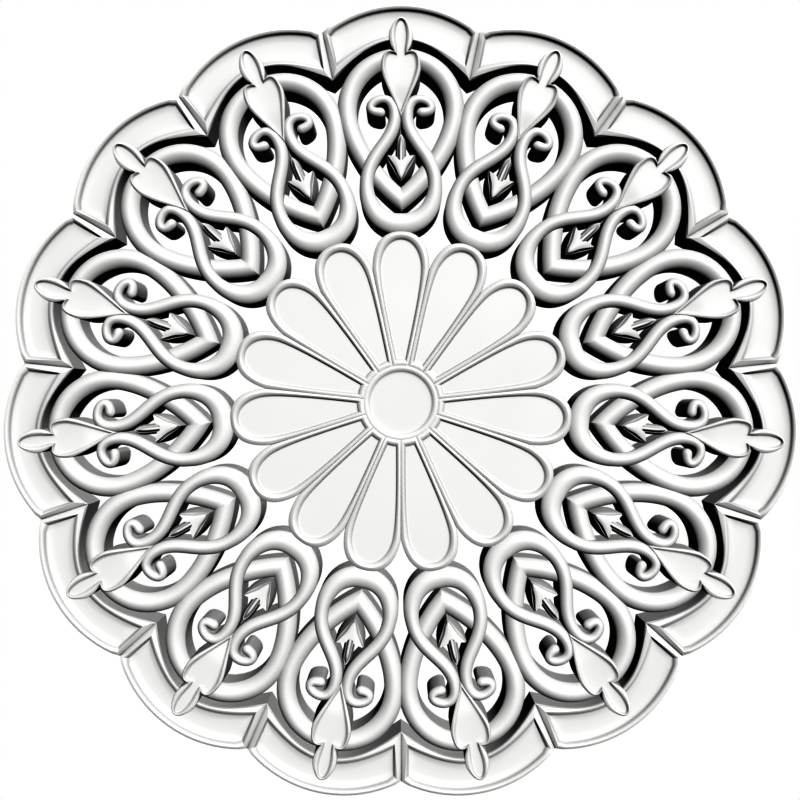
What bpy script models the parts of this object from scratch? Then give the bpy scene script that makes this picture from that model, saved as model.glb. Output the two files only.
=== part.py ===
"""A round openwork rosette, carved in relief from one board and painted white.

The wall face is the plane Y = 0 and the carving faces -Y. The origin is the centre of
the wall face. One half repeat is modelled beside the vertical centre line, mirrored,
and turned round the centre.
"""

import math

import bmesh
import bpy
from mathutils import Matrix, Vector, geometry

# Overall layout, in metres. Lengths add up from the centre outwards.
REPEATS = 15
DISC_RADIUS = 0.0285
PETAL_LENGTH = 0.1005
ROPE_FOOT_LAP = 0.0018
TEARDROP_LENGTH = 0.0813
CURL_RISE = 0.0124
FINIAL_LAP = 0.0006
FINIAL_LENGTH = 0.0753
CROWN_MARGIN = 0.0090

# Heights above the wall face
DISC_EDGE = 0.0337
PETAL_EDGE = 0.0335
ROPE_EDGE = 0.0315
LOOP_EDGE = 0.0264
ARROW_EDGE = 0.0305
ARROW_CREST = 0.0335
RING_EDGE = 0.0325
FINIAL_EDGE = 0.0358
PANEL_SINK = 0.0028

# Central disc and petals
DISC_BEAD = 0.0050
DISC_BEAD_RISE = 0.0015
PETAL_HALF_WIDTH = 0.0213
PETAL_SHOULDER = 0.0260
PETAL_RIM = 0.0050
PETAL_ROOT_LAP = 0.0012

# Rope scrolls: half widths along the rope, and places in the half repeat
ROPE_FOOT_HALF = 0.0078
ROPE_SIDE_HALF = 0.0050
ROPE_NECK_HALF = 0.0046
ROPE_CURL_HALF = 0.0035
ROPE_TIP_HALF = 0.0040
ROPE_ARCH = 0.50
TEARDROP_HALF_WIDTH = 0.0259
TEARDROP_BELLY = 0.0293
NECK_LAP = 0.0002
CURL_TOP_OUT = 0.0092
CURL_SIDE_OUT = 0.0184
CURL_SIDE_DROP = 0.0062
CURL_TIP_OUT = 0.0114
CURL_TIP_DROP = 0.0100

# Looped band behind the scrolls
LOOP_RADIUS = 0.0408
LOOP_BAND_HALF = 0.0073
LOOP_ARCH = 0.47
LOOP_GAP_TO_RING = 0.0024
LOOP_POINT_GAP = 0.0021
LOOP_POINT_ANGLE = math.radians(38)
LOOP_DROP_HANDLE = 0.0212
LOOP_POINT_HANDLE = 0.0287

# Arrow inside the teardrop
ARROW_LENGTH = 0.0364
ARROW_LAP = 0.0005
ARROW_HALF_WIDTH = 0.0110
ARROW_STEM_HALF = 0.0040

# Finial
FINIAL_KNOB_HALF = 0.0089
FINIAL_NECK_HALF = 0.0057
FINIAL_SPADE_HALF = 0.0147
FINIAL_SPADE_LENGTH = 0.0496
FINIAL_RIM = 0.0030

# Outer ring of scalloped panels
CROWN_RADIUS = 0.0945
RING_WIDTH = 0.0280
RING_OPENING_RADIUS = 0.0597
RING_RIM = 0.0056

# Facets along each kind of curve
CROWN_STEPS = 4
OPENING_STEPS = 3
LOOP_STEPS = 4
ROPE_STEPS = 3
CURL_STEPS = 2

HALF_REPEAT = math.pi / REPEATS
WELD = 0.00001
FLAT = math.radians(0.5)
SLIVER = 0.0010
SEAM_REACH = 0.004

# Distances from the centre that follow from the sizes above
PETAL_TIP = DISC_RADIUS + PETAL_LENGTH
ROPE_FOOT = PETAL_TIP - ROPE_FOOT_LAP + ROPE_FOOT_HALF
ROPE_BELLY = ROPE_FOOT + TEARDROP_BELLY
ROPE_NECK = ROPE_FOOT + TEARDROP_LENGTH
CURL_TOP = ROPE_NECK + CURL_RISE
FINIAL_TIP = ROPE_NECK - FINIAL_LAP
FINIAL_TOP = FINIAL_TIP + FINIAL_LENGTH
CROWN_TOP = FINIAL_TOP + CROWN_MARGIN
RING_INNER = CROWN_TOP - RING_WIDTH
LOOP_TOP = RING_INNER - LOOP_GAP_TO_RING - LOOP_BAND_HALF
LOOP_CENTRE = LOOP_TOP - LOOP_RADIUS
LOOP_POINT_HALF = LOOP_BAND_HALF / math.cos(LOOP_POINT_ANGLE)
LOOP_POINT = ROPE_FOOT + ROPE_FOOT_HALF + LOOP_POINT_GAP + LOOP_POINT_HALF
LOOP_CREASE = LOOP_POINT + LOOP_POINT_HALF


def clear_scene():
    for obj in list(bpy.data.objects):
        bpy.data.objects.remove(obj, do_unlink=True)


def painted_wood():
    material = bpy.data.materials.new("white_paint")
    material.use_nodes = True
    shader = material.node_tree.nodes["Principled BSDF"]
    shader.inputs["Base Color"].default_value = (0.85, 0.85, 0.84, 1)
    shader.inputs["Roughness"].default_value = 0.4
    shader.inputs["Metallic"].default_value = 0
    return material


def bezier(start, start_handle, end_handle, end, steps):
    """Points of a Bezier curve in the wall plane, both ends included."""
    handles = [Vector((x, 0, z)) for x, z in (start, start_handle, end_handle, end)]
    return [(p.x, p.z) for p in geometry.interpolate_bezier(*handles, steps + 1)]


def arc(centre, radius, start, end, steps):
    """Points of an arc about a point on the centre line, angles measured from +Z towards +X."""
    turns = [start + (end - start) * i / steps for i in range(steps + 1)]
    return [(radius * math.sin(a), centre + radius * math.cos(a)) for a in turns]


def both_sides(half):
    """The closed outline that a half outline at +X makes with its mirror image."""
    return half + [(-x, z) for x, z in reversed(half) if x > WELD]


def new_object(name, bm):
    bmesh.ops.recalc_face_normals(bm, faces=bm.faces)
    mesh = bpy.data.meshes.new(name)
    bm.to_mesh(mesh)
    bm.free()
    obj = bpy.data.objects.new(name, mesh)
    bpy.context.scene.collection.objects.link(obj)
    return obj


def raised_outline(outline, edge):
    """A mesh of the outline extruded from the wall face to edge, and its front face."""
    bm = bmesh.new()
    base = bm.faces.new([bm.verts.new((x, 0, z)) for x, z in outline])
    raised = bmesh.ops.extrude_face_region(bm, geom=[base])["geom"]
    corners = [v for v in raised if isinstance(v, bmesh.types.BMVert)]
    bmesh.ops.translate(bm, verts=corners, vec=(0, -edge, 0))
    bmesh.ops.recalc_face_normals(bm, faces=bm.faces)
    return bm, next(f for f in raised if isinstance(f, bmesh.types.BMFace))


def plate(name, outline, edge, rims):
    """A plate whose front is stepped inwards by rims, each a (width, rise)."""
    bm, front = raised_outline(outline, edge)
    for width, rise in rims:
        bmesh.ops.inset_region(bm, faces=[front], thickness=width, depth=rise, use_even_offset=True)
    return new_object(name, bm)


def peaked(name, outline, edge, peak, crest):
    """A plate whose front rises from its outline to one point at peak on the centre line."""
    bm, front = raised_outline(outline, edge)
    apex = bmesh.ops.poke(bm, faces=[front])["verts"][0]
    apex.co = (0, -crest, peak)
    return new_object(name, bm)


def band(name, route, edge, arch, round_end=False):
    """A ridged bar along a route of (x, z, half width), from the wall face out.

    Its sides rise to edge, and its crest is higher by arch times the half width."""
    bm = bmesh.new()
    places = [Vector((x, 0, z)) for x, z, _ in route]
    stations = []
    for i, (_, _, half) in enumerate(route):
        ahead = (places[min(i + 1, len(places) - 1)] - places[max(i - 1, 0)]).normalized()
        stations.append((places[i], ahead, half))
    if round_end:
        place, ahead, half = stations[-1]
        turn = math.radians(60)
        stations.append((place + ahead * half * math.sin(turn), ahead, half * math.cos(turn)))
    sections = []
    for place, ahead, half in stations:
        side = Vector((-ahead.z, 0, ahead.x)) * half
        rise = Vector((0, -edge, 0))
        crest = Vector((0, -edge - arch * half, 0))
        corners = (place - side, place - side + rise, place + crest, place + side + rise, place + side)
        sections.append([bm.verts.new(corner) for corner in corners])
    for a, b in zip(sections, sections[1:]):
        for i in range(len(a)):
            j = (i + 1) % len(a)
            bm.faces.new((a[i], a[j], b[j], b[i]))
    bm.faces.new(sections[0])
    bm.faces.new(reversed(sections[-1]))
    return new_object(name, bm)


def tapered(points, first, last):
    """A route along the points, its half width going evenly from first to last."""
    count = len(points) - 1
    return [(x, z, first + (last - first) * i / count) for i, (x, z) in enumerate(points)]


def disc():
    outline = arc(0, DISC_RADIUS, 0, 2 * math.pi, 2 * REPEATS)[:-1]
    rims = [(DISC_BEAD / 2, DISC_BEAD_RISE), (DISC_BEAD / 2, -PANEL_SINK)]
    return plate("disc", outline, DISC_EDGE, rims)


def petal():
    shoulder = PETAL_TIP - PETAL_SHOULDER
    tip_curve = bezier(
        (0, PETAL_TIP), (PETAL_HALF_WIDTH * 0.66, PETAL_TIP),
        (PETAL_HALF_WIDTH, shoulder + PETAL_SHOULDER * 0.6), (PETAL_HALF_WIDTH, shoulder), ROPE_STEPS)
    meeting = PETAL_HALF_WIDTH / math.tan(HALF_REPEAT)
    root = DISC_RADIUS * math.cos(HALF_REPEAT) - PETAL_ROOT_LAP
    sides = [(PETAL_HALF_WIDTH, meeting), (root * math.tan(HALF_REPEAT), root)]
    return plate("petal", both_sides(tip_curve[:-1] + sides), PETAL_EDGE, [(PETAL_RIM, -PANEL_SINK)])


def rope():
    """From the petal's tip round the teardrop, past the neck, and over into the curl."""
    neck_x = ROPE_NECK_HALF - NECK_LAP
    side = (TEARDROP_HALF_WIDTH, ROPE_BELLY)
    neck = (neck_x, ROPE_NECK)
    curl_top = (neck_x + CURL_TOP_OUT, CURL_TOP)
    curl_side = (neck_x + CURL_SIDE_OUT, CURL_TOP - CURL_SIDE_DROP)
    tip = (neck_x + CURL_TIP_OUT, CURL_TOP - CURL_TIP_DROP)
    rise = ROPE_NECK - ROPE_BELLY
    foot = bezier((0, ROPE_FOOT), (side[0] * 0.55, ROPE_FOOT),
                  (side[0], ROPE_BELLY - TEARDROP_BELLY * 0.54), side, ROPE_STEPS)
    stem = bezier(side, (side[0], ROPE_BELLY + rise * 0.435),
                  (neck_x, ROPE_BELLY + rise * 0.64), neck, ROPE_STEPS)
    over = bezier(neck, (neck_x, ROPE_NECK + CURL_RISE * 0.62),
                  (curl_top[0] - CURL_TOP_OUT * 0.58, CURL_TOP), curl_top, CURL_STEPS)
    route = [(-SEAM_REACH, ROPE_FOOT, ROPE_FOOT_HALF)]
    route += tapered(foot, ROPE_FOOT_HALF, ROPE_SIDE_HALF)
    route += tapered(stem, ROPE_SIDE_HALF, ROPE_NECK_HALF)[1:]
    route += tapered(over, ROPE_NECK_HALF, ROPE_CURL_HALF)[1:]
    route += [(*curl_side, ROPE_CURL_HALF), (*tip, ROPE_TIP_HALF)]
    return band("rope", route, ROPE_EDGE, ROPE_ARCH, round_end=True)


def loop():
    """Over the top under the finial, down the side, and inwards to the point."""
    crown = arc(LOOP_CENTRE, LOOP_RADIUS, 0, math.pi / 2, LOOP_STEPS)
    point_x = math.cos(LOOP_POINT_ANGLE)
    point_z = math.sin(LOOP_POINT_ANGLE)
    drop = bezier(
        (LOOP_RADIUS, LOOP_CENTRE), (LOOP_RADIUS, LOOP_CENTRE - LOOP_DROP_HANDLE),
        (LOOP_POINT_HANDLE * point_x, LOOP_POINT + LOOP_POINT_HANDLE * point_z),
        (0, LOOP_POINT), LOOP_STEPS - 1)
    past = LOOP_BAND_HALF * 2
    points = [(-SEAM_REACH, LOOP_TOP)] + crown + drop[1:] + [(-past * point_x, LOOP_POINT - past * point_z)]
    route = [(x, z, LOOP_BAND_HALF) for x, z in points]
    return band("loop", route, LOOP_EDGE, LOOP_ARCH)


def arrow():
    """A barbed head pointing at the centre, on a short pointed stem."""
    tip = LOOP_CREASE - ARROW_LAP
    half = [
        (0, tip + ARROW_LENGTH),
        (ARROW_STEM_HALF * 0.95, tip + ARROW_LENGTH * 0.78),
        (ARROW_STEM_HALF, tip + ARROW_LENGTH * 0.585),
        (ARROW_HALF_WIDTH, tip + ARROW_LENGTH * 0.665),
        (ARROW_HALF_WIDTH * 0.97, tip + ARROW_LENGTH * 0.475),
        (ARROW_HALF_WIDTH * 0.65, tip + ARROW_LENGTH * 0.225),
        (0, tip),
    ]
    return peaked("arrow", both_sides(half), ARROW_EDGE, tip + ARROW_LENGTH * 0.45, ARROW_CREST)


def finial():
    """A spade with a drop-shaped knob, from the meeting of the ropes out over the ring."""
    neck = FINIAL_TIP + FINIAL_SPADE_LENGTH
    knob = FINIAL_TOP - neck
    spade = FINIAL_SPADE_LENGTH
    spade_wide = (FINIAL_SPADE_HALF, FINIAL_TIP + spade * 0.78)
    knob_top = bezier((0, FINIAL_TOP), (FINIAL_KNOB_HALF * 0.6, FINIAL_TOP),
                      (FINIAL_KNOB_HALF, neck + knob * 0.72), (FINIAL_KNOB_HALF, neck + knob * 0.47),
                      CURL_STEPS)
    shoulder = [(FINIAL_NECK_HALF, neck), (FINIAL_SPADE_HALF * 0.78, neck), spade_wide]
    taper = bezier(spade_wide, (FINIAL_SPADE_HALF, FINIAL_TIP + spade * 0.55),
                   (FINIAL_SPADE_HALF * 0.42, FINIAL_TIP + spade * 0.26), (0, FINIAL_TIP), ROPE_STEPS)
    half = knob_top + shoulder + taper[1:]
    return plate("finial", both_sides(half), FINIAL_EDGE, [(FINIAL_RIM, -PANEL_SINK)])


def angle_at_seam(centre, radius):
    """Where an arc about a point on the centre line meets the edge of the repeat."""
    return math.asin(centre * math.sin(HALF_REPEAT) / radius) + HALF_REPEAT


def ring_panel():
    crown_centre = CROWN_TOP - CROWN_RADIUS
    opening_centre = RING_INNER - RING_OPENING_RADIUS
    crown = arc(crown_centre, CROWN_RADIUS, 0, angle_at_seam(crown_centre, CROWN_RADIUS), CROWN_STEPS)
    opening = arc(opening_centre, RING_OPENING_RADIUS,
                  angle_at_seam(opening_centre, RING_OPENING_RADIUS), 0, OPENING_STEPS)
    return plate("ring_panel", both_sides(crown + opening), RING_EDGE, [(RING_RIM, -PANEL_SINK)])


def united(pieces):
    """One mesh of all the pieces, with what lies inside another removed."""
    base, *others = pieces
    for other in others:
        union = base.modifiers.new(other.name, "BOOLEAN")
        union.operation = "UNION"
        union.object = other
        union.solver = "EXACT"
    graph = bpy.context.evaluated_depsgraph_get()
    bm = bmesh.new()
    bm.from_mesh(base.evaluated_get(graph).to_mesh())
    for piece in pieces:
        bpy.data.objects.remove(piece, do_unlink=True)
    return bm


def settle(bm, cut, reach):
    """Moves the vertices within reach of a cut through the centre onto it."""
    for vert in bm.verts:
        off = vert.co.dot(cut)
        if abs(off) < reach:
            vert.co -= cut * off


def cut_to_half_repeat(bm):
    """Keeps what lies between the centre line and the edge of the repeat, open on both cuts."""
    cuts = (Vector((-1, 0, 0)), Vector((math.cos(HALF_REPEAT), 0, -math.sin(HALF_REPEAT))))
    for cut in cuts:
        bmesh.ops.bisect_plane(bm, geom=bm.verts[:] + bm.edges[:] + bm.faces[:], dist=WELD,
                               plane_co=(0, 0, 0), plane_no=cut, clear_outer=True)
        settle(bm, cut, 2 * WELD)
        flat = [f for f in bm.faces if all(abs(v.co.dot(cut)) < WELD for v in f.verts)]
        bmesh.ops.delete(bm, geom=flat, context="FACES")
    wall_face = [f for f in bm.faces if all(abs(v.co.y) < WELD for v in f.verts)]
    bmesh.ops.delete(bm, geom=wall_face, context="FACES")
    bmesh.ops.remove_doubles(bm, verts=bm.verts, dist=WELD)
    bmesh.ops.dissolve_limit(bm, angle_limit=FLAT, verts=bm.verts, edges=bm.edges)
    bmesh.ops.dissolve_degenerate(bm, dist=SLIVER, edges=bm.edges)
    for cut in cuts:
        settle(bm, cut, SLIVER / 2)


def whole_round(bm):
    """Mirrors the half repeat, turns the pair round the centre and closes the wall face."""
    bmesh.ops.mirror(bm, geom=bm.verts[:] + bm.edges[:] + bm.faces[:], matrix=Matrix.Identity(4),
                     merge_dist=WELD, axis="X")
    bmesh.ops.spin(bm, geom=bm.verts[:] + bm.edges[:] + bm.faces[:], cent=(0, 0, 0), axis=(0, 1, 0),
                   dvec=(0, 0, 0), angle=2 * math.pi, steps=REPEATS, use_duplicate=True)
    bmesh.ops.remove_doubles(bm, verts=bm.verts, dist=WELD)
    rim = [e for e in bm.edges if e.is_boundary]
    bmesh.ops.triangle_fill(bm, use_beauty=True, edges=rim)


def main():
    clear_scene()
    bm = united([ring_panel(), loop(), rope(), petal(), disc(), arrow(), finial()])
    cut_to_half_repeat(bm)
    whole_round(bm)
    rosette = new_object("rosette", bm)
    rosette.data.materials.append(painted_wood())
    rosette.data.shade_smooth()
    rosette.data.set_sharp_from_angle(angle=math.radians(25))


main()
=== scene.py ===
import math

import bmesh
import bpy
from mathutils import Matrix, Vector, geometry


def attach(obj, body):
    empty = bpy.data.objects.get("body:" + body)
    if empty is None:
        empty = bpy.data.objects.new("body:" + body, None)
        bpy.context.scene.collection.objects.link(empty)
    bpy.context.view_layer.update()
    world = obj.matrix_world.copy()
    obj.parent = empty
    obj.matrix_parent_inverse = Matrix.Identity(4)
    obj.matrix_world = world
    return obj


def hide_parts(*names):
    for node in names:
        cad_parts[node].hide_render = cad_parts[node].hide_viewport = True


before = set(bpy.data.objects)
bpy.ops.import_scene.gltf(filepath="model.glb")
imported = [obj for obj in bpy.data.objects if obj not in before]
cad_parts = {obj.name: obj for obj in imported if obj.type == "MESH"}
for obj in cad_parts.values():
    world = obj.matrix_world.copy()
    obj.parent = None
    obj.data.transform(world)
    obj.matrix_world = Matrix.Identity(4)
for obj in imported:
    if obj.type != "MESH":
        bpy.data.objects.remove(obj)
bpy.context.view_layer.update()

# Lengths are metres. The carving faces -Y from the wall plane Y = 0. One half repeat is modelled
# beside the vertical centre line, from the centre of the rosette upwards, and its places are (x, z)
# or (x, z, height above the wall).
REPEATS = 15
HALF_REPEAT = math.pi / REPEATS
SEAM = Vector((math.sin(HALF_REPEAT), math.cos(HALF_REPEAT)))
WELD = 0.00001
SMOOTH_BELOW = math.radians(32)

# Heights above the wall
DISC_FLOOR = 0.0311
PETAL_FLOOR = 0.0311
RING_FLOOR = 0.0287
FINIAL_FLOOR = 0.03315
ROPE_EDGE = 0.0305
LOOP_EDGE = 0.0240
ARROW_EDGE = 0.0190
ARROW_LEDGE = 0.0287
ARROW_TOP = 0.0321

# Where a wall meets a front, the edge is rounded this far in and down, and a loop on the wall just
# under it keeps the wall's shading flat
EDGE_IN = 0.00028
EDGE_DOWN = 0.0008
LOOP_DOWN = 0.0014
ROUNDED_EDGE = (EDGE_IN, -80, -60, 1)

# The rope's and the loop's rounded fronts
CREST_SLOPE = math.radians(6)
EDGE_SLOPE = math.radians(58)
ARCH_STEPS = 8
ROPE_RISE = 0.0037
ROPE_RISE_SHARE = 0.694
LOOP_RISE = 0.0048

# Central disc, petals and ring, from the centre of the rosette
DISC_RADIUS = 0.0285
DISC_SIDES = 90
PETAL_ROOT = 0.0275
PETAL_TIP = 0.1290
PETAL_HALF_WIDTH = 0.0213
CROWN_CENTRE = 0.2055
CROWN_RADIUS = 0.0943

# Steps along the stretches of an outline. The outlines of one piece all have the same.
PETAL_STEPS = (12, 8)
PETAL_ROOT_STEPS = 3
CROWN_STEPS = 11
SEAM_STEPS = 5
OPENING_STEPS = 13
FINIAL_STEPS = (8, 5, 8, 10)
ARROW_STEPS = (3, 1, 2, 5, 3)

# The photograph's frame, in pixels, and the lens that gives its picture
PHOTO_SIDE = 800
PHOTO_CENTRE = (400.9, 402.7)
LENS_MM = 43.46
SENSOR_MM = 36
CAMERA_DISTANCE = 0.7580

# Studio
FLOOR_LEVEL = -0.60
FLOOR_WIDTH = 2.6
FLOOR_FRONT = -1.60
FLOOR_BACK = 0.68
SUN_ANGLE = math.radians(2)
KEY_SIDE = (0.265, -0.866, 0.424)
KEY_BRIGHTNESS = 1.20
BACK_BRIGHTNESS = 0.9
FILL_BRIGHTNESS = 0.40
FILL_TILT = 0.07

# Paint
SPRAY_PASS = 0.060
ORANGE_PEEL = 0.0020
ORANGE_PEEL_DEPTH = 0.000012


def linear(hex_colour):
    """One sRGB hex colour as linear red, green, blue and alpha."""
    parts = [int(hex_colour[place:place + 2], 16) / 255 for place in (1, 3, 5)]
    return [part / 12.92 if part <= 0.04045 else ((part + 0.055) / 1.055) ** 2.4
            for part in parts] + [1]


def add_node(tree, kind, settings=None, links=None, **inputs):
    """Adds a node with its settings, its input values and its links from other nodes' sockets."""
    node = tree.nodes.new(kind)
    for name, value in (settings or {}).items():
        setattr(node, name, value)
    for name, value in inputs.items():
        node.inputs[name.replace("_", " ")].default_value = value
    for name, socket in (links or {}).items():
        tree.links.new(socket, node.inputs[name])
    return node


def bezier(start, start_handle, end_handle, end, steps):
    """Points (x, z) along one Bezier curve, both ends included."""
    handles = [Vector((x, 0, z)) for x, z in (start, start_handle, end_handle, end)]
    return [(p.x, p.z) for p in geometry.interpolate_bezier(*handles, steps + 1)]


def arc(centre, radius, start, end, steps):
    """Points (x, z) of an arc about a point on the centre line, angles measured from +Z to +X."""
    turns = [start + (end - start) * i / steps for i in range(steps + 1)]
    return [(radius * math.sin(a), centre + radius * math.cos(a)) for a in turns]


def curved(start, steps, *runs):
    """An outline from its start through runs of (handle, handle, end), or (end,) if straight."""
    outline = []
    for count, run in zip(steps, runs):
        stretch = bezier(start, *run, count) if len(run) == 3 else [start, run[0]]
        outline += stretch[1:] if outline else stretch
        start = run[-1]
    return outline


def both_sides(half):
    """A closed outline from its half at +X, which starts and ends on the centre line."""
    return half + [(-x, *rest) for x, *rest in reversed(half[1:-1])]


def blended(first, second, share):
    """Outline points part of the way from one outline to another with as many points."""
    return [(a + (c - a) * share, b + (d - b) * share) for (a, b), (c, d) in zip(first, second)]


def between(place, stops):
    """The value at a place, going evenly from one (place, value) stop to the next."""
    for (start, first), (end, last) in zip(stops, stops[1:]):
        if place <= end:
            return first + (last - first) * min(1, max(0, (place - start) / (end - start)))
    return stops[-1][1]


def drawn_out(name, sections):
    """A closed solid: a filled circle shaped to the first section and extruded to each other one.

    A section is a list of (x, z, height above the wall)."""
    bpy.ops.object.select_all(action="DESELECT")
    bpy.ops.mesh.primitive_circle_add(vertices=len(sections[0]), fill_type="NGON")
    piece = bpy.context.object
    piece.name = name
    bpy.ops.object.mode_set(mode="EDIT")
    for i, section in enumerate(sections):
        if i:
            bpy.ops.mesh.extrude_region_move()
        mesh = bmesh.from_edit_mesh(piece.data)
        front = next(face for face in mesh.faces if face.select)
        for corner, (x, z, height) in zip(front.loops, section):
            corner.vert.co = (x, -height, z)
        bmesh.update_edit_mesh(piece.data)
    bpy.ops.mesh.quads_convert_to_tris(ngon_method="BEAUTY")
    bpy.ops.mesh.select_all(action="SELECT")
    bpy.ops.mesh.normals_make_consistent(inside=False)
    bpy.ops.object.mode_set(mode="OBJECT")
    return piece


def raised(name, halves):
    """A solid with a wall up to the first of its front sections, given as their halves at +X."""
    sections = [both_sides(half) for half in halves]
    edge = sections[0]
    foot = [(x, z, 0) for x, z, _ in edge]
    under_edge = [(x, z, height - LOOP_DOWN + EDGE_DOWN) for x, z, height in edge]
    return drawn_out(name, [foot, under_edge] + sections)


def arch_drop(across):
    """The share of a bar's rise lost across it. Its slope grows evenly from crest to edge."""
    slope = CREST_SLOPE + (EDGE_SLOPE - CREST_SLOPE) * abs(across)
    steepest = math.log(math.cos(CREST_SLOPE) / math.cos(EDGE_SLOPE))
    return math.log(math.cos(CREST_SLOPE) / math.cos(slope)) / steepest


def bar(name, route, edge):
    """A bar with a rounded front along a route of stations.

    A station is (x, z, half width, rise of the crest over the edges, lean of the crest to the left)."""
    sections = []
    for i, (x, z, half, rise, lean) in enumerate(route):
        here = Vector((x, z))
        behind = Vector(route[max(i - 1, 0)][:2])
        ahead = Vector(route[min(i + 1, len(route) - 1)][:2])
        along = (ahead - behind).normalized()
        side = Vector((-along.y, along.x))
        right, left = here - side * half, here + side * half
        wall = (0, edge - LOOP_DOWN, edge - EDGE_DOWN)
        section = [(*right, height) for height in wall]
        for step in range(ARCH_STEPS + 1):
            across = 2 * step / ARCH_STEPS - 1
            arch_half = max(half - EDGE_IN, half / 2)
            place = here + side * (across * arch_half + lean * (1 - across ** 2))
            section.append((*place, edge + rise * (1 - arch_drop(across))))
        section += [(*left, height) for height in reversed(wall)]
        sections.append(section)
    return drawn_out(name, sections)


def mirrored_start(points, *rest):
    """A station across the centre line from the second point, so that the bar crosses it square."""
    x, z = points[1]
    return (-x, z, *rest)


def rope_stations(points, first, last, power):
    """Stations along the points, the half width going from first to last, later for a high power."""
    count = len(points) - 1
    halves = [first + (last - first) * (i / count) ** power for i in range(count + 1)]
    return [(x, z, half, min(ROPE_RISE, ROPE_RISE_SHARE * half), 0)
            for (x, z), half in zip(points, halves)]


def rope():
    """The rope scroll: round the foot, up the side to the neck, over the curl and back under it."""
    foot_half, side_half, neck_half, curl_half, hook_half = 0.0082, 0.00515, 0.0046, 0.0035, 0.0034
    tip_half = 0.0040
    foot = bezier((0, 0.1346), (0.0173, 0.1346), (0.02585, 0.1480), (0.02585, 0.1640), 15)
    side = bezier((0.02585, 0.1640), (0.02585, 0.1878), (0.0046, 0.1959), (0.0046, 0.2155), 17)
    over = bezier((0.0046, 0.2155), (0.0046, 0.2236), (0.0081, 0.2287), (0.0136, 0.2287), 7)
    curl = bezier((0.0136, 0.2287), (0.0179, 0.2287), (0.0228, 0.2257), (0.0228, 0.2225), 6)
    hook = bezier((0.0228, 0.2225), (0.0228, 0.2196), (0.0194, 0.2187), (0.0158, 0.2187), 5)
    route = [mirrored_start(foot, foot_half, ROPE_RISE, 0)]
    for points, first, last, power in ((foot, foot_half, side_half, 1.4), (side, side_half, neck_half, 3),
                                       (over, neck_half, curl_half, 1), (curl, curl_half, hook_half, 1),
                                       (hook, hook_half, tip_half, 1)):
        route += rope_stations(points, first, last, power)[1:]
    x, z, half, rise, _ = route[-1]
    end = Vector((x, z))
    ahead = (end - Vector(route[-2][:2])).normalized()
    for turn in map(math.radians, (18, 36, 54, 70, 83)):
        tip = end + ahead * half * math.sin(turn)
        route.append((*tip, half * math.cos(turn), rise * math.cos(turn) ** 2, 0))
    return bar("rope", route, ROPE_EDGE)


def loop():
    """The looped band: from the centre line round the crown, and down a leg across it as a V."""
    v_slope = math.radians(38)
    v_handle = 0.0287
    v_centre = (0, 0.1542)
    past_centre = 0.0150
    top_half, shoulder_half, leg_half = 0.00685, 0.00765, 0.0073
    shoulder_lean, leg_lean = 0.0005, 0.0003
    v_start = (v_handle * math.cos(v_slope), v_centre[1] + v_handle * math.sin(v_slope))
    crown = bezier((0, 0.26274), (0.0228, 0.26274), (0.0409, 0.2448), (0.0409, 0.2221), 15)
    leg = bezier((0.0409, 0.2221), (0.0409, 0.2009), v_start, v_centre, 17)
    route = [mirrored_start(crown, top_half, LOOP_RISE, 0)]
    for i, (x, z) in list(enumerate(crown))[1:]:
        turned = i / (len(crown) - 1)
        half = between(turned, ((0, top_half), (0.5, shoulder_half), (1, leg_half)))
        route.append((x, z, half, LOOP_RISE, shoulder_lean * math.sin(math.pi * turned)))
    for i, (x, z) in enumerate(leg[1:]):
        route.append((x, z, leg_half, LOOP_RISE, leg_lean * i / len(leg)))
    route.append((-past_centre * math.cos(v_slope), leg[-1][1] - past_centre * math.sin(v_slope),
                  leg_half, LOOP_RISE, leg_lean))
    return bar("loop", route, LOOP_EDGE)


def petal():
    """A petal, with a rim that falls away outwards from its crest and inwards to a flat floor."""
    meeting = SEAM * (PETAL_HALF_WIDTH / SEAM.x)
    side_start = SEAM * (0.0880 / SEAM.y)
    side_end = SEAM * (0.0480 / SEAM.y)
    outer = curved((0, PETAL_TIP), PETAL_STEPS,
                   ((0.0140, 0.1293), (PETAL_HALF_WIDTH, 0.1195), meeting),
                   (side_start, side_end, SEAM * PETAL_ROOT))
    outer += arc(0, PETAL_ROOT, HALF_REPEAT, 0, PETAL_ROOT_STEPS)[1:]
    inner = curved((0, 0.1234), PETAL_STEPS,
                   ((0.0096, 0.1234), (0.0158, 0.1136), (0.0158, 0.1010)),
                   ((0.0158, 0.0885), (0.0080, 0.0524), (0.0036, 0.0324)))
    inner += arc(0, 0.0325, 0.1109, 0, PETAL_ROOT_STEPS)[1:]

    # From the root to the tip: the crest's height over the floor, and how far the edge is below it
    crests = ((PETAL_ROOT, 0.00245), (0.0900, 0.0025), (PETAL_TIP, 0.00302))
    drops = ((PETAL_ROOT, 0.00085), (0.0320, 0.00045), (0.0530, 0.00045), (0.0900, 0.0012),
             (PETAL_TIP, 0.0021))
    # By the share of the way from the outer outline to the inner one: the share of the crest lost
    crest_share = 0.52
    fall = ((0.60, 0.05), (0.68, 0.12), (0.77, 0.215), (0.86, 0.345), (0.93, 0.47), (0.99, 0.60),
            (1.04, 0.74), (1.08, 0.86), (1.12, 0.935), (1.17, 0.972), (1.26, 0.99), (1.45, 1), (1.70, 1))

    def height(place, share):
        crest = between(place, crests)
        if share > crest_share:
            return crest * (1 - between(share, ((crest_share, 0),) + fall))
        return crest - between(place, drops) * ((crest_share - share) / crest_share) ** 1.4

    halves = [[(x, z, PETAL_FLOOR + height(z, 0) - EDGE_DOWN) for x, z in outer]]
    for share in (0.04, 0.15, 0.28, 0.40, crest_share) + tuple(share for share, _ in fall):
        places = zip(blended(outer, inner, share), outer)
        halves.append([(x, z, PETAL_FLOOR + height(place, share)) for (x, z), (_, place) in places])
    return raised("petal", halves)


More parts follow.
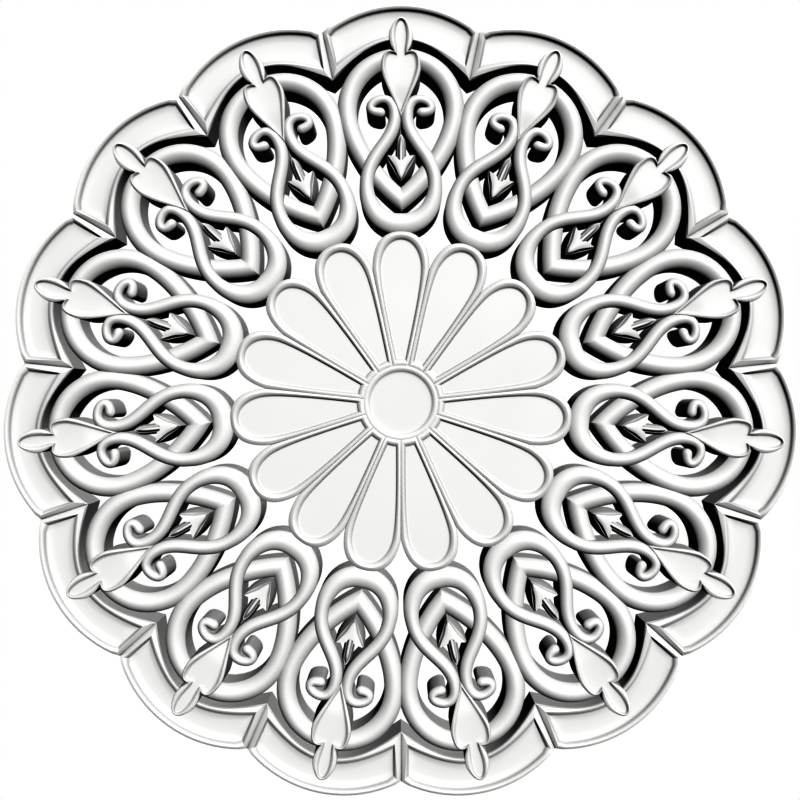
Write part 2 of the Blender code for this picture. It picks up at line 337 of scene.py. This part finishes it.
def slope_profile(arcs):
    """Points (distance in, height) across a rim made of arcs of (run, first slope, last slope, steps).

    Slopes are degrees down towards the floor. The last point is at height 0, the floor."""
    points = [(0, 0)]
    for run, first, last, steps in arcs:
        first, last = math.radians(first), math.radians(last)
        radius = run / (math.sin(last) - math.sin(first))
        distance, height = points[-1]
        for i in range(1, steps + 1):
            slope = first + (last - first) * i / steps
            points.append((distance + radius * (math.sin(slope) - math.sin(first)),
                           height + radius * (math.cos(slope) - math.cos(first))))
    return [(distance, height - points[-1][1]) for distance, height in points]


def disc():
    """The central disc, with a bead and a groove round a flat floor."""
    rim = slope_profile([
        ROUNDED_EDGE, (0.0019, -29, 0, 4), (0.00115, 1, 26, 3), (0.0008, 26, 32, 2),
        (0.00055, 38, 44, 2), (0.0005, 45, 42, 1), (0.00055, 36, 16, 2), (0.0014, 11, 1, 2),
        (0.0035, 0.5, 0.1, 1)])
    half_turn = DISC_SIDES // 2
    return raised("disc", [[(x, z, DISC_FLOOR + up)
                            for x, z in arc(0, DISC_RADIUS - inset, 0, math.pi, half_turn)]
                           for inset, up in rim])


def angle_at_seam(centre, radius, inset):
    """Where an arc about a point on the centre line meets a line inset from the repeat's edge."""
    return math.asin((centre * math.sin(HALF_REPEAT) - inset) / radius) + HALF_REPEAT


def opening_curve(inset, seam_inset):
    """The ring's pointed opening inside the edge, from the seam to the top.

    The rim's crest comes closer to the edge at the top, and is further from it at the seam."""
    crest_in, foot_in = 0.0020, 0.0062
    top = 0.2724 + between(inset, ((0, 0), (crest_in, 0.00115))) + max(0, inset - crest_in)
    corner_z = between(inset, ((0, 0.2426), (crest_in, 0.2515), (foot_in, 0.2567)))
    corner_z += 1.25 * max(0, inset - foot_in)
    corner = (corner_z * math.tan(HALF_REPEAT) - seam_inset / math.cos(HALF_REPEAT), corner_z)
    reach = between(inset, ((0, 0.0166), (crest_in, 0.0150)))
    steepness = between(inset, ((0, 1.04), (crest_in, 0.76)))
    top_reach = between(inset, ((0, 0.0211), (crest_in, 0.0180)))
    return bezier(corner, (corner[0] - reach, corner_z + reach * steepness),
                  (top_reach, top), (0, top), OPENING_STEPS)


def ring_panel():
    """One scallop of the ring: a moulded rim round its crown, seams and opening, and a flat floor."""
    crown_rim = slope_profile([
        ROUNDED_EDGE, (0.00185, -44, -16, 3), (0.0007, 12, 26, 1), (0.0011, 28, 50, 3),
        (0.0007, 58, 72, 2), (0.00055, 66, 44, 2), (0.0009, 38, 22, 2), (0.0045, 20, 4, 3)])
    seam_rim = slope_profile([
        ROUNDED_EDGE, (0.0022, -50, -42, 3), (0.0006, 26, 40, 1), (0.0011, 46, 53, 3),
        (0.0008, 54, 55, 2), (0.0005, 50, 32, 2), (0.0008, 27, 15, 2), (0.0042, 13, 2, 3)])
    opening_rim = slope_profile([
        ROUNDED_EDGE, (0.00185, -80, -14, 3), (0.0006, 14, 26, 1), (0.0013, 27, 42, 3),
        (0.0010, 46, 52, 2), (0.0007, 47, 32, 2), (0.0009, 28, 17, 2), (0.0050, 15, 3, 3)])
    corner_rounding = 0.0009
    seam_foot_in = 0.0062

    halves = []
    for (crown_in, crown_up), (seam_in, seam_up), (opening_in, opening_up) in zip(
            crown_rim, seam_rim, opening_rim):
        radius = CROWN_RADIUS - crown_in
        crown = arc(CROWN_CENTRE, radius, 0, angle_at_seam(CROWN_CENTRE, radius, seam_in), CROWN_STEPS)
        pull = corner_rounding * between(seam_in, ((0.0010, 0), (0.0035, 1)))
        crown[-1] = (crown[-1][0] - pull, crown[-1][1] - pull)
        low_in = between(seam_in, ((0, 0), (0.0024, 0.0046), (seam_foot_in, seam_foot_in)))
        opening = opening_curve(opening_in, low_in + max(0, seam_in - seam_foot_in))
        start, end = Vector(crown[-1]), Vector(opening[0])
        seam = [tuple(start.lerp(end, i / SEAM_STEPS)) for i in range(1, SEAM_STEPS)]
        half = [(x, z, RING_FLOOR + crown_up) for x, z in crown[:-1]]
        half += [(x, z, RING_FLOOR + seam_up) for x, z in crown[-1:] + seam + opening[:1]]
        half += [(x, z, RING_FLOOR + opening_up) for x, z in opening[1:]]
        halves.append(half)
    return raised("ring_panel", halves)


def finial():
    """The spade finial with its knob: a rim round a flat dish that dips towards the lower point."""
    edge = curved((0, 0.2892), FINIAL_STEPS,
                  ((0.0042, 0.2892), (0.0091, 0.2812), (0.0091, 0.2752)),
                  ((0.0091, 0.2702), (0.0074, 0.2664), (0.0054, 0.2635)),
                  ((0.0085, 0.2652), (0.0148, 0.2656), (0.01495, 0.2519)),
                  ((0.0156, 0.2435), (0.0040, 0.2262), (0, 0.2141)))
    step = curved((0, 0.2873), FINIAL_STEPS,
                  ((0.0029, 0.2873), (0.00475, 0.2817), (0.00475, 0.2754)),
                  ((0.00475, 0.2697), (0.0031, 0.2662), (0.0035, 0.2615)),
                  ((0.0080, 0.2629), (0.0124, 0.2642), (0.01215, 0.2529)),
                  ((0.0121, 0.2463), (0.0040, 0.2292), (0, 0.2189)))
    floor = curved((0, 0.2860), FINIAL_STEPS,
                   ((0.0015, 0.2860), (0.0024, 0.2817), (0.0024, 0.2757)),
                   ((0.0024, 0.2697), (0.0014, 0.2653), (0.0019, 0.2595)),
                   ((0.0050, 0.2608), (0.0092, 0.2613), (0.00905, 0.2529)),
                   ((0.0090, 0.2468), (0.0038, 0.2333), (0, 0.2230)))
    dip_start, dip_run, dip_depth = 0.2405, 0.0200, 0.0021
    edge_loss = 0.52

    # From the lower point to the knob: the crest's height over the dish
    crests = ((0.2141, 0.0017), (0.2330, 0.0016), (0.2480, 0.0026), (0.2600, 0.0026), (0.2650, 0.00235))
    # By the share of the way from the edge to the step, and past 1 to the floor: the share lost
    crest_share = 0.56
    fall = ((0.64, 0.015), (0.72, 0.07), (0.80, 0.16), (0.90, 0.29), (1.0, 0.43), (1.1, 0.56),
            (1.2, 0.69), (1.3, 0.795), (1.4, 0.87), (1.52, 0.92), (1.70, 0.96), (2.0, 1))

    def height(z, place, share):
        low = min(1, max(0, (dip_start - z) / dip_run))
        if share > crest_share:
            left = 1 - between(share, ((crest_share, 0),) + fall)
        else:
            left = 1 - edge_loss * ((crest_share - share) / crest_share) ** 1.25
        return FINIAL_FLOOR - dip_depth * low * low * (3 - 2 * low) + between(place, crests) * left

    halves = [[(x, z, height(z, z, 0) - EDGE_DOWN) for x, z in edge]]
    for share in (0.07, 0.2, 0.38, crest_share) + tuple(share for share, _ in fall):
        outline = blended(edge, step, share) if share <= 1 else blended(step, floor, share - 1)
        halves.append([(x, z, height(z, place, share)) for (x, z), (_, place) in zip(outline, edge)])
    return raised("finial", halves)


def arrow():
    """The arrow: steep sides up to a narrow ledge, then a step up to an arched top."""
    outline = curved((0, 0.2060), ARROW_STEPS,
                     ((0.0022, 0.2035), (0.0040, 0.2010), (0.0040, 0.1970)),
                     ((0.0040, 0.1855),),
                     ((0.0058, 0.1854), (0.0086, 0.1862), (0.0113, 0.1880)),
                     ((0.0113, 0.1830), (0.0082, 0.1764), (0.0057, 0.1728)),
                     ((0.0043, 0.1706), (0.0020, 0.1680), (0, 0.1668)))
    ledge = curved((0, 0.2030), ARROW_STEPS,
                   ((0.0014, 0.2010), (0.00245, 0.1990), (0.00245, 0.1950)),
                   ((0.00245, 0.1849),),
                   ((0.0050, 0.1847), (0.0080, 0.1852), (0.0108, 0.1870)),
                   ((0.0099, 0.1820), (0.0066, 0.1783), (0.0050, 0.1750)),
                   ((0.0039, 0.1728), (0.0024, 0.1696), (0, 0.1672)))
    top = curved((0, 0.1980), ARROW_STEPS,
                 ((0.0006, 0.1965), (0.0011, 0.1950), (0.0011, 0.1920)),
                 ((0.0011, 0.1827),),
                 ((0.0040, 0.1826), (0.0075, 0.1835), (0.0102, 0.1864)),
                 ((0.0076, 0.1820), (0.0045, 0.1793), (0.0032, 0.1750)),
                 ((0.0026, 0.1730), (0.0015, 0.1695), (0, 0.1684)))
    middle_z = 0.1780
    middle = [(x * 0.3, middle_z + (z - middle_z) * 0.8) for x, z in top]
    halves = [[(x, z, ARROW_EDGE) for x, z in outline]]
    for first, last, share, height in (
            (outline, ledge, 0.97, ARROW_LEDGE - 0.0003), (outline, ledge, 1, ARROW_LEDGE),
            (ledge, top, 0.22, ARROW_LEDGE + 0.0001), (ledge, top, 0.93, ARROW_TOP - 0.0003),
            (ledge, top, 1, ARROW_TOP), (top, middle, 0.35, ARROW_TOP + 0.0005),
            (top, middle, 0.7, ARROW_TOP + 0.0008), (top, middle, 1, ARROW_TOP + 0.0009)):
        halves.append([(x, z, height) for x, z in blended(first, last, share)])
    return raised("arrow", halves)


def united(pieces):
    """The first piece with the others joined on, and what lies inside another removed."""
    base, *others = pieces
    bpy.ops.object.select_all(action="DESELECT")
    base.select_set(True)
    bpy.context.view_layer.objects.active = base
    for other in others:
        union = base.modifiers.new(other.name, "BOOLEAN")
        union.operation = "UNION"
        union.object = other
        union.solver = "EXACT"
        bpy.ops.object.modifier_apply(modifier=union.name)
        bpy.data.objects.remove(other, do_unlink=True)
    return base


def select_flat_on(piece, normal):
    """Selects the faces that lie in the plane through the centre with that normal."""
    mesh = bmesh.from_edit_mesh(piece.data)
    for vert in mesh.verts:
        if abs(vert.co.dot(normal)) < 2 * WELD:
            vert.co -= normal * vert.co.dot(normal)
    for face in mesh.faces:
        face.select_set(all(abs(vert.co.dot(normal)) < WELD for vert in face.verts))
    bmesh.update_edit_mesh(piece.data)


def cut_to_half_repeat(piece):
    """Keeps what lies between the centre line and the edge of the repeat, open on both cuts."""
    bpy.ops.object.mode_set(mode="EDIT")
    bpy.ops.mesh.select_mode(type="FACE")
    centre_cut = Vector((-1, 0, 0))
    seam_cut = Vector((SEAM.y, 0, -SEAM.x))
    for cut in (centre_cut, seam_cut):
        bpy.ops.mesh.select_all(action="SELECT")
        bpy.ops.mesh.bisect(plane_co=(0, 0, 0), plane_no=cut, clear_outer=True, threshold=WELD)
        bpy.ops.mesh.select_all(action="DESELECT")
        select_flat_on(piece, cut)
        bpy.ops.mesh.delete(type="FACE")
    bpy.ops.mesh.select_all(action="SELECT")
    bpy.ops.mesh.remove_doubles(threshold=WELD)
    bpy.ops.object.mode_set(mode="OBJECT")


def whole_round(piece):
    """Mirrors the half repeat and turns the pair round the centre."""
    mirror = piece.modifiers.new("mirror", "MIRROR")
    mirror.use_axis = (True, False, False)
    mirror.merge_threshold = 2 * WELD
    bpy.ops.object.modifier_apply(modifier=mirror.name)
    bpy.ops.object.mode_set(mode="EDIT")
    bpy.ops.mesh.select_all(action="SELECT")
    copies = REPEATS - 1
    bpy.ops.mesh.spin(dupli=True, steps=copies, angle=2 * math.pi * copies / REPEATS,
                      center=(0, 0, 0), axis=(0, 1, 0))
    bpy.ops.mesh.select_all(action="SELECT")
    bpy.ops.mesh.remove_doubles(threshold=2 * WELD)
    bpy.ops.mesh.normals_make_consistent(inside=False)
    bpy.ops.object.mode_set(mode="OBJECT")


def new_material(name):
    """A material with nodes, its node tree and its shader."""
    material = bpy.data.materials.new(name)
    material.use_nodes = True
    return material, material.node_tree, material.node_tree.nodes["Principled BSDF"]


def satin_white_spray_paint():
    """Two sprayed coats of satin white on smooth sanded wood.

    The eye gets an even white whose highlights are wide and soft, spread a little more where the
    coat went on drier, with a faint orange peel in them. The peel is drawn twice as coarse as the
    real one, about 1 mm, so that it shows."""
    material, tree, shader = new_material("satin_white_spray_paint")
    place = add_node(tree, "ShaderNodeTexCoord").outputs["Object"]
    passes = add_node(tree, "ShaderNodeTexNoise", links={"Vector": place},
                      Scale=1 / SPRAY_PASS, Detail=2.0)
    colour = add_node(tree, "ShaderNodeMix", {"data_type": "RGBA"}, {"Factor": passes.outputs["Fac"]},
                      A=linear("#F6F6F5"), B=linear("#F2F2F1"))
    tree.links.new(colour.outputs["Result"], shader.inputs["Base Color"])
    sheen = add_node(tree, "ShaderNodeMapRange", links={"Value": passes.outputs["Fac"]},
                     To_Min=0.64, To_Max=0.72)
    tree.links.new(sheen.outputs["Result"], shader.inputs["Roughness"])
    shader.inputs["IOR"].default_value = 1.55
    shader.inputs["Specular IOR Level"].default_value = 1.0
    peel = add_node(tree, "ShaderNodeTexNoise", links={"Vector": place},
                    Scale=1 / ORANGE_PEEL, Detail=1.0)
    skin = add_node(tree, "ShaderNodeBump", links={"Height": peel.outputs["Fac"]},
                    Strength=1.0, Distance=ORANGE_PEEL_DEPTH)
    tree.links.new(skin.outputs["Normal"], shader.inputs["Normal"])
    return material


def lit_white_acrylic():
    """The white acrylic sheet of a light table: pale, matt and glowing a little."""
    material, _, shader = new_material("lit_white_acrylic")
    shader.inputs["Base Color"].default_value = linear("#E9E9E7")
    shader.inputs["Roughness"].default_value = 0.9
    shader.inputs["Emission Color"].default_value = linear("#F4F4F2")
    shader.inputs["Emission Strength"].default_value = 0.45
    return material


def add_floor():
    """A plain pale floor below the hanging rosette, out of the photograph's view.

    It sends no light back to the rosette, which the photograph shows without any from below."""
    bpy.ops.object.select_all(action="DESELECT")
    bpy.ops.mesh.primitive_plane_add(size=1)
    floor = bpy.context.object
    floor.name = "studio_floor"
    bpy.ops.object.mode_set(mode="EDIT")
    bpy.ops.transform.resize(value=(FLOOR_WIDTH, FLOOR_BACK - FLOOR_FRONT, 1))
    bpy.ops.transform.translate(value=(0, (FLOOR_FRONT + FLOOR_BACK) / 2, FLOOR_LEVEL))
    bpy.ops.object.mode_set(mode="OBJECT")
    floor.visible_diffuse = False
    floor.visible_glossy = False
    floor.data.materials.append(lit_white_acrylic())


def add_camera():
    """The photograph's camera, straight in front of the rosette's centre."""
    camera = bpy.data.cameras.new("photo_camera")
    camera.lens = LENS_MM
    camera.sensor_width = SENSOR_MM
    camera.shift_x = (PHOTO_SIDE / 2 - PHOTO_CENTRE[0]) / PHOTO_SIDE
    camera.shift_y = (PHOTO_CENTRE[1] - PHOTO_SIDE / 2) / PHOTO_SIDE
    holder = bpy.data.objects.new("photo_camera", camera)
    bpy.context.scene.collection.objects.link(holder)
    holder.location = (0, -CAMERA_DISTANCE, 0)
    holder.rotation_euler = (math.radians(90), 0, 0)
    bpy.context.scene.camera = holder


def add_sun(name, side, brightness, shadow=True):
    """A distant light from a side. At brightness 1, white matt paint that faces it looks white."""
    sun = bpy.data.lights.new(name, "SUN")
    sun.energy = brightness * math.pi
    sun.use_shadow = shadow
    sun.cycles.max_bounces = 0
    sun.angle = SUN_ANGLE
    holder = bpy.data.objects.new(name, sun)
    bpy.context.scene.collection.objects.link(holder)
    holder.rotation_euler = Vector(side).to_track_quat("Z", "Y").to_euler()


def add_lights():
    """The key without shadows, as in the photograph, and lights for the back and the outer walls.

    The fills come from slightly behind, so that the front hides from them."""
    add_sun("key_light", KEY_SIDE, KEY_BRIGHTNESS, shadow=False)
    add_sun("back_light", (0, 1, 0), BACK_BRIGHTNESS)
    add_sun("right_fill", (1, FILL_TILT, 0), FILL_BRIGHTNESS)
    add_sun("left_fill", (-1, FILL_TILT, 0), FILL_BRIGHTNESS)
    add_sun("top_fill", (0, FILL_TILT, 1), FILL_BRIGHTNESS)
    add_sun("bottom_fill", (0, FILL_TILT, -1), FILL_BRIGHTNESS)


def add_white_surround():
    """A surround that looks white and gives no light of its own."""
    world = bpy.data.worlds.new("studio")
    bpy.context.scene.world = world
    world.use_nodes = True
    background = world.node_tree.nodes["Background"]
    background.inputs["Color"].default_value = (1, 1, 1, 1)
    path = add_node(world.node_tree, "ShaderNodeLightPath")
    world.node_tree.links.new(path.outputs["Is Camera Ray"], background.inputs["Strength"])


rosette = united([ring_panel(), loop(), rope(), petal(), disc(), arrow(), finial()])
cut_to_half_repeat(rosette)
whole_round(rosette)
rosette.name = "carved_rosette"
bpy.ops.object.shade_smooth_by_angle(angle=SMOOTH_BELOW)
rosette.data.materials.clear()
rosette.data.materials.append(satin_white_spray_paint())
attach(rosette, "root")
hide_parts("rosette")

add_camera()
add_floor()
add_lights()
add_white_surround()

# The photograph's shades are in proportion to the light, so the gamma takes the display's curve off
bpy.context.scene.view_settings.view_transform = "Standard"
bpy.context.scene.view_settings.gamma = 1 / 2.2
